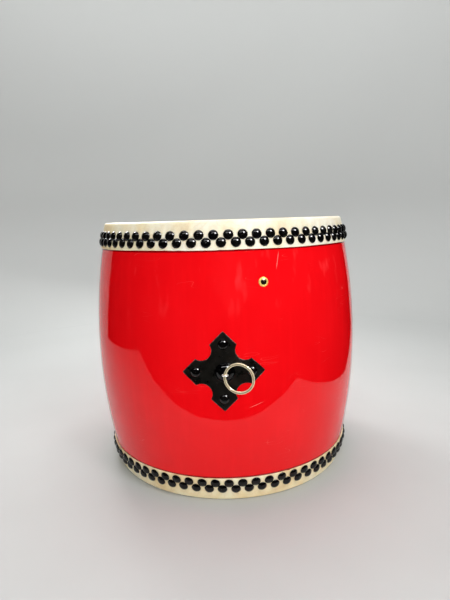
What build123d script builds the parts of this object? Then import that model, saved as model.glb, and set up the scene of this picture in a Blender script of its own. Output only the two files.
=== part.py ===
from build123d import *
import os
from math import asin, cos, degrees, pi, radians, sin, sqrt

# A nailed barrel drum that stands on one of its two rawhide heads.
# Millimetres, +Z up. The origin is the centre of the bottom head's face on the floor.
# The front handle faces -Y, and the same handle is fitted opposite it, at +Y.
# Azimuth is measured round the drum from the front, positive towards +X.

# Driving dimensions of the drum
HEIGHT = 408.0
HEAD_RADIUS = 200.0
BELLY_RADIUS = 223.0
HIDE = 1.8
TOP_SKIRT = 39.8
BOTTOM_SKIRT = 38.2
WALL_AT_BELLY = 22.0
WALL_AT_ENDS = 24.0
GAP = 0.05

# The bearing edge that each hide is stretched over
RIM_ROUND = 3.0
BEARING_WIDTH = 12.0
BEARING_DROP = 9.0

# Studs that nail the hides to the shell, in two staggered rows at each end
STUDS_PER_ROW = 66
TOP_ROWS = (19.8, 29.9)
BOTTOM_ROWS = (20.7, 30.9)
BOTTOM_PHASE = 0.8
STUD_RADIUS = 6.6
STUD_RISE = 4.3
STUD_LIP = 0.8
STUD_SHANK_RADIUS = 1.4
STUD_SHANK = 17.0
STUD_POINT = 5.0

# Handle plate: a square standing on its corner, with a round bite out of each side
PLATE_HALF_DIAGONAL = 57.0
PLATE_THICKNESS = 1.2
BITE_RADIUS = 14.5
BITE_CENTRE = 43.5
NAIL_OFFSET = 38.6
NAIL_SHANK_RADIUS = 1.3
NAIL_SHANK = 16.0
CLEARANCE = 0.1

# Boss and eye bolt near the middle of the plate, fitted a little off centre
BOSS_AZIMUTH = 0.44
BOSS_RADIUS = 13.6
BOSS_FLANGE = 1.6
BOSS_DOME_RADIUS = 12.0
BOSS_RISE = 7.6
EYE_RING_RADIUS = 3.6
EYE_WIRE_RADIUS = 1.1
EYE_OUT = 13.6
BOLT_RADIUS = 2.0
BOLT_INSIDE = 6.5
WASHER_RADIUS = 6.0
WASHER_THICKNESS = 1.0
WASHER_SINK = 0.2
NUT_ACROSS_FLATS = 7.0
NUT_THICKNESS = 3.2

# Split ring that hangs in the eye
RING_RADIUS = 19.7
RING_WIDTH = 3.4
COIL_THICKNESS = 1.3
COIL_GAP = 0.05
RING_DROOP = 9.5
RING_SWING = 17.0
RAMP_HALF_ANGLE = 10.0
COIL_END_ANGLE = 13.0

# Cup washer and screw in the side of the shell
SCREW_AZIMUTH = 15.3
SCREW_HEIGHT = 324.0
CUP_RADIUS = 6.75
CUP_RISE = 1.9
CUP_BORE = 2.3
SCREW_HEAD_RADIUS = 4.2
SCREW_HEAD_RISE = 2.5
SCREW_RADIUS = 2.0
SCREW_LENGTH = 20.0
RECESS_LENGTH = 4.8
RECESS_WIDTH = 1.0
RECESS_DEPTH = 1.5

# Shape worked out from the driving dimensions
MIDDLE = HEIGHT / 2
END_RADIUS = HEAD_RADIUS - HIDE
BULGE = BELLY_RADIUS - END_RADIUS
ARC_RADIUS = (MIDDLE**2 + BULGE**2) / (2 * BULGE)
ARC_CENTRE = BELLY_RADIUS - ARC_RADIUS
EYE_POINT = Vector(0, -(BELLY_RADIUS + EYE_OUT), MIDDLE)
TOO_FAR = 2 * BELLY_RADIUS
DRILL_START = 1.0


def surface_radius(z, offset=0.0):
    """Radius of the shell's outside at height z, plus an offset square to the surface."""
    return ARC_CENTRE + sqrt((ARC_RADIUS + offset) ** 2 - (z - MIDDLE) ** 2)


def on_surface(azimuth, z, offset=0.0):
    """A plane on the shell's outside, whose z_dir points straight out of the surface."""
    across = radians(azimuth)
    tilt = asin((z - MIDDLE) / ARC_RADIUS)
    out = Vector(sin(across), -cos(across), 0)
    normal = out * cos(tilt) + Vector(0, 0, sin(tilt))
    origin = out * surface_radius(z, offset) + Vector(0, 0, z)
    return Plane(origin=origin, x_dir=(cos(across), sin(across), 0), z_dir=normal)


def turned(*edges):
    """The solid turned about +Z from a closed outline in the XZ plane."""
    return revolve(make_face([Plane.XZ * edge for edge in edges]), Axis.Z)


def barrel(offset, low, high, rim=0.0):
    """A full barrel that follows the shell's outside at an offset, with its end edges rounded."""
    foot = surface_radius(low, offset)
    head = surface_radius(high, offset)
    body = turned(
        Line((0, low), (foot, low)),
        ThreePointArc((foot, low), (surface_radius((low + high) / 2, offset), (low + high) / 2), (head, high)),
        Line((head, high), (0, high)),
        Line((0, high), (0, low)),
    )
    if rim:
        ends = [e for e in body.edges().filter_by(GeomType.CIRCLE) if e.radius > HEAD_RADIUS / 2]
        body = fillet(ends, rim)
    return body


def hollow():
    """The cavity: an inner barrel whose ends flare out to the bearing edges."""
    low = HIDE + GAP
    high = HEIGHT - low
    wall = END_RADIUS - WALL_AT_ENDS
    mouth = END_RADIUS - BEARING_WIDTH
    return turned(
        Line((0, low), (mouth, low)),
        Line((mouth, low), (wall, low + BEARING_DROP)),
        ThreePointArc(
            (wall, low + BEARING_DROP),
            (BELLY_RADIUS - WALL_AT_BELLY, MIDDLE),
            (wall, high - BEARING_DROP),
        ),
        Line((wall, high - BEARING_DROP), (mouth, high)),
        Line((mouth, high), (0, high)),
        Line((0, high), (0, low)),
    )


def drill(plane, radius, depth):
    """A drill's cylinder that goes into the surface from just outside it."""
    return plane * Pos(0, 0, -depth) * Cylinder(
        radius, depth + DRILL_START, align=(Align.CENTER, Align.CENTER, Align.MIN)
    )


def nail_planes():
    """Where the four nails of the front plate go."""
    side = degrees(NAIL_OFFSET / BELLY_RADIUS)
    spots = [(0, NAIL_OFFSET), (side, 0), (0, -NAIL_OFFSET), (-side, 0)]
    return [on_surface(azimuth, MIDDLE + rise, PLATE_THICKNESS + GAP) for azimuth, rise in spots]


def both_sides(part):
    """The front part and its copy on the back of the drum."""
    return [part, Rot(0, 0, 180) * part]


def shell():
    """The wooden barrel, with its cavity and the holes for the fittings."""
    body = barrel(0.0, HIDE + GAP, HEIGHT - HIDE - GAP, RIM_ROUND) - hollow()
    bolt_hole = drill(on_surface(BOSS_AZIMUTH, MIDDLE), BOLT_RADIUS + CLEARANCE, 2 * WALL_AT_BELLY)
    nail_holes = [drill(p, NAIL_SHANK_RADIUS + GAP, NAIL_SHANK + 1) for p in nail_planes()]
    for hole in [bolt_hole, *nail_holes]:
        for copy in both_sides(hole):
            body -= copy
    screw_hole = drill(on_surface(SCREW_AZIMUTH, SCREW_HEIGHT), SCREW_RADIUS + GAP, SCREW_LENGTH + 1)
    return body - screw_hole


def head(skirt):
    """A rawhide head on top: a flat face, a bend over the bearing edge, and a skirt down the shell."""
    outside = barrel(HIDE, 0, HEIGHT, RIM_ROUND + HIDE)
    inside = barrel(GAP, HIDE, HEIGHT - HIDE, RIM_ROUND + GAP)
    slab = Pos(0, 0, HEIGHT - skirt) * Cylinder(
        TOO_FAR, TOO_FAR, align=(Align.CENTER, Align.CENTER, Align.MIN)
    )
    return (outside - inside) & slab


def domed_nail(radius, rise, lip, shank_radius, shank, point):
    """A nail along +Z with a domed head, whose underside is at Z 0."""
    cap_radius = (radius**2 + (rise - lip) ** 2) / (2 * (rise - lip))
    half = asin(radius / cap_radius) / 2
    waypoint = (cap_radius * sin(half), rise - cap_radius * (1 - cos(half)))
    return turned(
        Line((0, -shank), (shank_radius, point - shank)),
        Line((shank_radius, point - shank), (shank_radius, 0)),
        Line((shank_radius, 0), (radius, 0)),
        Line((radius, 0), (radius, lip)),
        ThreePointArc((radius, lip), waypoint, (0, rise)),
        Line((0, rise), (0, -shank)),
    )


def by_eye(step):
    """Degrees that a hand-set stud is off its even spacing."""
    turn = 2 * pi * step / STUDS_PER_ROW
    return 0.42 * sin(3 * turn + 0.6) + 0.14 * sin(8 * turn + 2.0) + 0.05 * sin(23 * turn)


def stud_row(z, first, wander):
    """One row of studs through the hide; first is the row's shift in steps."""
    stud = domed_nail(STUD_RADIUS, STUD_RISE, STUD_LIP, STUD_SHANK_RADIUS, STUD_SHANK, STUD_POINT)
    studs = []
    for number in range(STUDS_PER_ROW):
        step = number + first
        azimuth = step * 360 / STUDS_PER_ROW + by_eye(step + wander)
        rise = 0.12 * sin(2.3 * number + wander)
        studs.append(on_surface(azimuth, z + rise, HIDE + GAP) * stud)
    return Compound(children=studs)


def plate():
    """The handle plate, bent to the barrel, with holes for the bolt and the nails."""
    outline = Rot(0, 0, 45) * Rectangle(PLATE_HALF_DIAGONAL * sqrt(2), PLATE_HALF_DIAGONAL * sqrt(2))
    for corner in range(4):
        outline -= Rot(0, 0, 45 + 90 * corner) * Pos(BITE_CENTRE, 0) * Circle(BITE_RADIUS)
    front = Plane(origin=(0, -BELLY_RADIUS / 2, MIDDLE), x_dir=(1, 0, 0), z_dir=(0, -1, 0))
    block = extrude(front * outline, BELLY_RADIUS)
    low = MIDDLE - 2 * PLATE_HALF_DIAGONAL
    high = MIDDLE + 2 * PLATE_HALF_DIAGONAL
    sheet = barrel(PLATE_THICKNESS + GAP, low, high) - barrel(GAP, low - 1, high + 1)
    bent = block & sheet
    bolt = on_surface(BOSS_AZIMUTH, MIDDLE, PLATE_THICKNESS + GAP)
    bent -= drill(bolt, BOLT_RADIUS + CLEARANCE, WALL_AT_BELLY)
    for spot in nail_planes():
        bent -= drill(spot, NAIL_SHANK_RADIUS + CLEARANCE, NAIL_SHANK)
    return bent


def plate_nails():
    """Four domed nails that hold the plate to the shell."""
    nail = domed_nail(STUD_RADIUS, STUD_RISE, STUD_LIP, NAIL_SHANK_RADIUS, NAIL_SHANK, STUD_POINT)
    return Compound(children=[spot * Pos(0, 0, GAP) * nail for spot in nail_planes()])


def boss():
    """The domed boss on the plate, with a hole for the eye bolt, its underside fitted to the plate."""
    cap_radius = (BOSS_DOME_RADIUS**2 + (BOSS_RISE - BOSS_FLANGE) ** 2) / (2 * (BOSS_RISE - BOSS_FLANGE))
    half = asin(BOSS_DOME_RADIUS / cap_radius) / 2
    waypoint = (cap_radius * sin(half), BOSS_RISE - cap_radius * (1 - cos(half)))
    depth = 2.0
    dome = turned(
        Line((0, -depth), (BOSS_RADIUS, -depth)),
        Line((BOSS_RADIUS, -depth), (BOSS_RADIUS, BOSS_FLANGE)),
        Line((BOSS_RADIUS, BOSS_FLANGE), (BOSS_DOME_RADIUS, BOSS_FLANGE)),
        ThreePointArc((BOSS_DOME_RADIUS, BOSS_FLANGE), waypoint, (0, BOSS_RISE)),
        Line((0, BOSS_RISE), (0, -depth)),
    )
    seat = PLATE_THICKNESS + 2 * GAP
    dome -= Pos(0, 0, -depth) * Cylinder(BOLT_RADIUS + CLEARANCE, TOO_FAR)
    placed = on_surface(0, MIDDLE, seat) * dome
    return placed - barrel(seat, MIDDLE - 2 * BOSS_RADIUS, MIDDLE + 2 * BOSS_RADIUS)


def eye_bolt():
    """The bolt through the shell, with a closed eye whose hole stands upright."""
    eye = Pos(*EYE_POINT) * Torus(EYE_RING_RADIUS, EYE_WIRE_RADIUS)
    outer_end = BELLY_RADIUS + EYE_OUT - EYE_RING_RADIUS
    inner_end = BELLY_RADIUS - WALL_AT_BELLY - BOLT_INSIDE
    shank = Pos(0, -(outer_end + inner_end) / 2, MIDDLE) * Rot(90, 0, 0) * Cylinder(
        BOLT_RADIUS, outer_end - inner_end
    )
    return eye + shank


def inner_washer():
    """The washer under the nut, against the inside of the shell."""
    face = BELLY_RADIUS - WALL_AT_BELLY - WASHER_SINK
    disc = Cylinder(WASHER_RADIUS, WASHER_THICKNESS) - Cylinder(BOLT_RADIUS + CLEARANCE, WASHER_THICKNESS)
    return Pos(0, -(face - WASHER_THICKNESS / 2), MIDDLE) * Rot(90, 0, 0) * disc


def nut():
    """The hexagon nut on the bolt's inner end."""
    face = BELLY_RADIUS - WALL_AT_BELLY - WASHER_SINK - WASHER_THICKNESS - GAP
    hexagon = RegularPolygon(NUT_ACROSS_FLATS / 2, 6, major_radius=False) - Circle(BOLT_RADIUS + GAP)
    front = Plane(origin=(0, -face + NUT_THICKNESS, MIDDLE), x_dir=(1, 0, 0), z_dir=(0, -1, 0))
    return extrude(front * hexagon, NUT_THICKNESS)


def split_ring():
    """A ring of two flat coils joined by a short ramp, which hangs in the eye to one side.

    It droops a little, and is swung out from the shell.
    """
    level = (COIL_THICKNESS + COIL_GAP) / 2
    section = Plane.XZ * Pos(RING_RADIUS, 0) * Rectangle(RING_WIDTH, COIL_THICKNESS)

    def cut_at(angle, height):
        """The wire's section, standing square to the ring at an angle round it."""
        return Rot(0, 0, angle) * Pos(0, 0, height) * section

    def coil(height, start, end):
        """A stretch of flat coil from one angle to another."""
        return revolve(cut_at(start, height), Axis.Z, end - start)

    ramp = loft(
        [
            cut_at(-RAMP_HALF_ANGLE, -level),
            cut_at(0, 0),
            cut_at(RAMP_HALF_ANGLE, level),
        ]
    )
    lower = coil(-level, COIL_END_ANGLE, 360 - RAMP_HALF_ANGLE)
    upper = coil(level, RAMP_HALF_ANGLE, 360 - COIL_END_ANGLE)
    ring = lower + ramp + upper
    beside_eye = Rot(90, 0, 0) * Pos(RING_RADIUS, 0, 0) * ring
    return Pos(*EYE_POINT) * Rot(0, 0, -RING_SWING) * Rot(0, RING_DROOP, 0) * beside_eye


def cup_washer():
    """The raised brass washer that the side screw sits in."""
    ring = turned(
        Line((CUP_BORE, 0), (CUP_RADIUS, 0)),
        ThreePointArc((CUP_RADIUS, 0), (CUP_RADIUS - 0.35, 1.15), (CUP_RADIUS - 1.35, CUP_RISE)),
        Line((CUP_RADIUS - 1.35, CUP_RISE), (SCREW_HEAD_RADIUS + 0.3, CUP_RISE)),
        Line((SCREW_HEAD_RADIUS + 0.3, CUP_RISE), (CUP_BORE, 0.35)),
        Line((CUP_BORE, 0.35), (CUP_BORE, 0)),
    )
    return on_surface(SCREW_AZIMUTH, SCREW_HEIGHT, GAP) * ring


def side_screw():
    """The countersunk screw with a cross recess that holds the cup washer."""
    edge = SCREW_HEAD_RISE - 0.7
    body = turned(
        Line((0, -SCREW_LENGTH), (SCREW_RADIUS, 4 - SCREW_LENGTH)),
        Line((SCREW_RADIUS, 4 - SCREW_LENGTH), (SCREW_RADIUS, 0.25)),
        Line((SCREW_RADIUS, 0.25), (SCREW_HEAD_RADIUS, edge)),
        ThreePointArc(
            (SCREW_HEAD_RADIUS, edge), (SCREW_HEAD_RADIUS / 2, SCREW_HEAD_RISE - 0.17), (0, SCREW_HEAD_RISE)
        ),
        Line((0, SCREW_HEAD_RISE), (0, -SCREW_LENGTH)),
    )
    top = Pos(0, 0, SCREW_HEAD_RISE)
    body -= top * Box(RECESS_LENGTH, RECESS_WIDTH, 2 * RECESS_DEPTH)
    body -= top * Box(RECESS_WIDTH, RECESS_LENGTH, 2 * RECESS_DEPTH)
    return on_surface(SCREW_AZIMUTH, SCREW_HEIGHT, GAP) * body


def all_parts():
    """Every node of the drum, by name."""
    bottom_shift = BOTTOM_PHASE * STUDS_PER_ROW / 360
    parts = {
        "shell": shell(),
        "top_head": head(TOP_SKIRT),
        "bottom_head": Pos(0, 0, HEIGHT) * Rot(180, 0, 0) * head(BOTTOM_SKIRT),
        "top_studs_upper": stud_row(HEIGHT - TOP_ROWS[0], 0.5, 0),
        "top_studs_lower": stud_row(HEIGHT - TOP_ROWS[1], 0, 0),
        "bottom_studs_upper": stud_row(BOTTOM_ROWS[1], bottom_shift, 17),
        "bottom_studs_lower": stud_row(BOTTOM_ROWS[0], 0.5 + bottom_shift, 17),
        "side_cup_washer": cup_washer(),
        "side_screw": side_screw(),
    }
    off_centre = Rot(0, 0, BOSS_AZIMUTH)
    handle = {
        "plate": plate(),
        "plate_nails": plate_nails(),
        "boss": off_centre * boss(),
        "eye_bolt": off_centre * eye_bolt(),
        "inner_washer": off_centre * inner_washer(),
        "nut": off_centre * nut(),
        "ring": off_centre * split_ring(),
    }
    for name, part in handle.items():
        parts["front_" + name], parts["rear_" + name] = both_sides(part)
    return parts


os.makedirs("parts", exist_ok=True)
for node, shape in all_parts().items():
    export_step(shape, f"parts/{node}.step")
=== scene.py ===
"""The looks of a nailed barrel drum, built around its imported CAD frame.

Metres, +Z up. The drum stands on its bottom head with its front handle towards -Y. Azimuth is measured
round the drum from the front, in radians, positive towards +X.
"""

from math import asin, atan2, copysign, cos, pi, radians, sin, sqrt, tan, tau
from random import Random

import bpy
import numpy as np
from mathutils import Matrix, Vector, noise


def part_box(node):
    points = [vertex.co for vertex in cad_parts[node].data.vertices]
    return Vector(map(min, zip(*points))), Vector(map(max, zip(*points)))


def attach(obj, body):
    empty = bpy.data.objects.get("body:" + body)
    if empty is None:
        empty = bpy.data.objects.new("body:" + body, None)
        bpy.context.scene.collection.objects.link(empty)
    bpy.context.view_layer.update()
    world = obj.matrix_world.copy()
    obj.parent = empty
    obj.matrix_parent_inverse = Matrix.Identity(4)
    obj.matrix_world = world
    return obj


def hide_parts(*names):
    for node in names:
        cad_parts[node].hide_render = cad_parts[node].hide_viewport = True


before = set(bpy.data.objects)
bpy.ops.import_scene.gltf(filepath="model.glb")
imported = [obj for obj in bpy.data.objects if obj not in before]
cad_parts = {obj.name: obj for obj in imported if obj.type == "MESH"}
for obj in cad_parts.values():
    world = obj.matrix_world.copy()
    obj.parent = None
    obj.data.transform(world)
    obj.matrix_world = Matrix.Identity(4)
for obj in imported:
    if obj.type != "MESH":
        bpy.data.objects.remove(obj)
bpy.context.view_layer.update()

MM = 0.001

# The drum's sizes
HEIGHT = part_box("top_head")[1].z
TOP_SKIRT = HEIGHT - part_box("top_head")[0].z
BOTTOM_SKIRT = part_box("bottom_head")[1].z
MIDDLE = HEIGHT / 2
BELLY_RADIUS = 223 * MM
END_RADIUS = 198.2 * MM
HIDE = 1.8 * MM
RIM_ROUND = 3 * MM
WALL_AT_BELLY = 22 * MM
WALL_AT_ENDS = 24 * MM
BEARING_WIDTH = 12 * MM
BEARING_DROP = 9 * MM
GAP = 0.05 * MM

# Its fittings
STUD_RADIUS = 7.0 * MM  # a little over the CAD's 6.6, so that neighbouring heads touch
STUD_RISE = 4.3 * MM
STUD_LIP = 0.8 * MM
STUD_SHANK_RADIUS = 1.4 * MM
STUD_SHANK = 17 * MM
STUD_POINT = 5 * MM
PLATE_HALF_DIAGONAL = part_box("front_plate")[1].x
PLATE_THICKNESS = 1.2 * MM
BITE_RADIUS = 14.5 * MM
BITE_CENTRE = 43.5 * MM
NAIL_OFFSET = 38.6 * MM
BOSS_AZIMUTH = radians(0.44)
BOSS_RADIUS = 13.6 * MM
BOSS_DOME_RADIUS = 12 * MM
BOSS_RISE = 7.6 * MM
BOSS_FLANGE = 1.6 * MM
BOLT_RADIUS = 2 * MM
EYE_RING_RADIUS = 3.6 * MM
EYE_WIRE_RADIUS = 1.1 * MM
EYE_OUT = 13.6 * MM
RING_RADIUS = 19.7 * MM
RING_WIDTH = 3.4 * MM
COIL_THICKNESS = 1.3 * MM
RING_DROOP = radians(9.5)
RING_SWING = radians(17)
SCREW_AZIMUTH = radians(15.3)
SCREW_HEIGHT = 324 * MM
CUP_RADIUS = 6.75 * MM
CUP_RISE = 1.9 * MM
SCREW_HEAD_RADIUS = 4.2 * MM
SCREW_HEAD_RISE = 2.5 * MM

BULGE = BELLY_RADIUS - END_RADIUS
ARC_RADIUS = (MIDDLE**2 + BULGE**2) / (2 * BULGE)
ARC_CENTRE = BELLY_RADIUS - ARC_RADIUS
EYE_POINT = Vector((0, -(BELLY_RADIUS + EYE_OUT), MIDDLE))
HALF_TURN = Matrix.Rotation(pi, 4, "Z")
OFF_CENTRE = Matrix.Rotation(BOSS_AZIMUTH, 4, "Z")

# The stage
FLOOR_LEVEL = -0.4 * MM
MAT_LEVEL = -0.2 * MM
FLOOR_SIDES = 96
COVE_FROM = 1.2
COVE_ROUND = 0.5
WALL_HEIGHT = 2.1


# ---------------------------------------------------------------- the barrel's surface


def surface_radius(z, offset=0.0):
    """Radius of the shell's outside at height z, plus an offset square to the surface."""
    return ARC_CENTRE + np.sqrt((ARC_RADIUS + offset) ** 2 - (z - MIDDLE) ** 2)


def on_surface(azimuth, z, offset=0.0):
    """Where a fitting sits on the shell: its X runs round the drum, and its Z points straight out."""
    tilt = asin((z - MIDDLE) / ARC_RADIUS)
    out = Vector((sin(azimuth), -cos(azimuth), 0))
    normal = out * cos(tilt) + Vector((0, 0, sin(tilt)))
    across = Vector((cos(azimuth), sin(azimuth), 0))
    place = Matrix((across, normal.cross(across), normal)).transposed().to_4x4()
    place.translation = out * float(surface_radius(z, offset)) + Vector((0, 0, z))
    return place


def bent_to_barrel(across, up, offset):
    """Points of a flat pattern, seen from the front, carried straight back onto the barrel."""
    z = MIDDLE + up
    return np.stack([across, -np.sqrt(surface_radius(z, offset) ** 2 - across**2), z], axis=-1)


def stud_places(node):
    """(azimuth, height) of each stud in a CAD row, read from the gaps between its studs."""
    points = np.array([v.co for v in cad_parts[node].data.vertices])
    azimuth = np.arctan2(points[:, 0], -points[:, 1])
    order = np.argsort(azimuth)
    azimuth, height = azimuth[order], points[order, 2]
    widest_inside = STUD_RADIUS / 2 / END_RADIUS
    start = np.flatnonzero(np.diff(azimuth) > widest_inside)[0] + 1
    azimuth = np.concatenate([azimuth[start:], azimuth[:start] + tau])
    height = np.roll(height, -start)
    breaks = np.flatnonzero(np.diff(azimuth) > widest_inside) + 1
    studs = zip(np.split(azimuth, breaks), np.split(height, breaks))
    return [((around.min() + around.max()) / 2, (up.min() + up.max()) / 2) for around, up in studs]


# ---------------------------------------------------------------- making meshes


def new_piece(name, vertices, faces, finish, sharp=40):
    """A smooth-shaded object, with sharp edges only where the surface turns by more than an angle."""
    mesh = bpy.data.meshes.new(name)
    mesh.from_pydata([tuple(v) for v in vertices], [], faces)
    mesh.shade_smooth()
    mesh.set_sharp_from_angle(angle=radians(sharp))
    mesh.materials.append(finish)
    piece = bpy.data.objects.new(name, mesh)
    bpy.context.scene.collection.objects.link(piece)
    return piece


def moved(vertices, matrix):
    """Vertices taken through a 4 by 4 matrix."""
    m = np.array(matrix)
    return np.asarray(vertices) @ m[:3, :3].T + m[:3, 3]


def joined(parts):
    """Several (vertices, faces) pairs as one."""
    vertices, faces, count = [], [], 0
    for some_vertices, some_faces in parts:
        vertices.append(np.asarray(some_vertices))
        faces += [[i + count for i in face] for face in some_faces]
        count += len(some_vertices)
    return np.concatenate(vertices), faces


def rounded(corners, closed=False, steps=4):
    """A line through corners (x, y, radius), with each corner rounded to its radius."""
    line = []
    for i, (x, y, radius) in enumerate(corners):
        here = Vector((x, y))
        if radius == 0 or (not closed and i in (0, len(corners) - 1)):
            line.append(here)
            continue
        before = (Vector(corners[i - 1][:2]) - here).normalized()
        after = (Vector(corners[(i + 1) % len(corners)][:2]) - here).normalized()
        half = before.angle(after) / 2
        centre = here + (before + after).normalized() * radius / sin(half)
        start = here + before * radius / tan(half) - centre
        end = here + after * radius / tan(half) - centre
        sweep = pi - 2 * half
        for k in range(steps + 1):
            t = k / steps
            line.append(centre + (start * sin((1 - t) * sweep) + end * sin(t * sweep)) / sin(sweep))
    return [(p.x, p.y) for p in line]


def arc_through(rise, radius, start, end, steps):
    """Points (r, z) of a cap of a sphere with this rise over this radius, between two fractions of it."""
    sphere = (radius**2 + rise**2) / (2 * rise)
    whole = asin(radius / sphere)
    angles = [whole * (start + (end - start) * k / steps) for k in range(steps + 1)]
    return [(sphere * sin(a), rise - sphere * (1 - cos(a))) for a in angles]


def turned(outline, steps, closed=False, reshape=None):
    """A surface turned about +Z from an outline (r, z) that runs up the outside.

    An open outline starts and ends on the axis. reshape changes the arrays of radius, height and azimuth
    before they become points, so that the surface needn't be perfectly round.
    """
    outline = np.array(outline)
    rim = outline if closed else outline[1:-1]
    azimuth = np.linspace(0, tau, steps, endpoint=False)[None, :] * np.ones((len(rim), 1))
    radius = rim[:, :1] * np.ones((1, steps))
    height = rim[:, 1:] * np.ones((1, steps))
    if reshape:
        radius, height = reshape(radius, height, azimuth)
    points = np.stack([radius * np.sin(azimuth), -radius * np.cos(azimuth), height], axis=-1).reshape(-1, 3)
    row, column = np.meshgrid(np.arange(len(rim) - (0 if closed else 1)), np.arange(steps), indexing="ij")
    above, beside = (row + 1) % len(rim), (column + 1) % steps
    corners = [row * steps + column, row * steps + beside, above * steps + beside, above * steps + column]
    faces = np.stack(corners, axis=-1).reshape(-1, 4).tolist()
    if closed:
        return points, faces
    bottom, top = len(points), len(points) + 1
    last = (len(rim) - 1) * steps
    for i in range(steps):
        j = (i + 1) % steps
        faces += [[bottom, j, i], [last + i, last + j, top]]
    ends = [(0, 0, outline[0, 1]), (0, 0, outline[-1, 1])]
    return np.concatenate([points, ends]), faces


def swept(path, sections):
    """A closed tube through rings of points: sections[i] is the ring of points at path step i."""
    rings = np.array(sections)
    count, around = rings.shape[:2]
    faces = []
    for i in range(count - 1):
        for j in range(around):
            k = (j + 1) % around
            faces.append([i * around + j, i * around + k, (i + 1) * around + k, (i + 1) * around + j])
    ends = np.array([path[0], path[-1]])
    start, end = count * around, count * around + 1
    for j in range(around):
        k = (j + 1) % around
        faces += [[start, k, j], [end, (count - 1) * around + j, (count - 1) * around + k]]
    return np.concatenate([rings.reshape(-1, 3), ends]), faces


def round_wire(path, radii, around=20):
    """A round wire along a path, with a radius at each of its points."""
    path = [Vector(p) for p in path]
    side = Vector((0, 0, 1))
    sections = []
    for i, here in enumerate(path):
        ahead = (path[min(i + 1, len(path) - 1)] - path[max(i - 1, 0)]).normalized()
        side = (side - ahead * side.dot(ahead)).normalized()
        other = ahead.cross(side)
        ring = [tau * j / around for j in range(around)]
        sections.append([here + (side * cos(a) + other * sin(a)) * radii[i] for a in ring])
    return swept(path, sections)


def mark(piece, name, values):
    """A named number on each of a piece's points, for its material to read."""
    attribute = piece.data.attributes.new(name, "FLOAT", "POINT")
    attribute.data.foreach_set("value", np.asarray(values, np.float32))


def unevenness(points, size, seed):
    """Smooth random numbers from about -1 to 1 at some points, with features of about this size."""
    shift = Vector((seed * 7.31, seed * 3.17, seed * 5.71))
    return np.array([noise.noise(Vector(p) / size + shift) for p in points])


def fit(piece, body, slot, *nodes):
    """Puts a finished piece on its body, in place of the CAD nodes it stands for, which it hides; slot is not
    used.
    """
    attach(piece, body)
    if nodes:
        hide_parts(*nodes)
    return piece


# ---------------------------------------------------------------- materials


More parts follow.
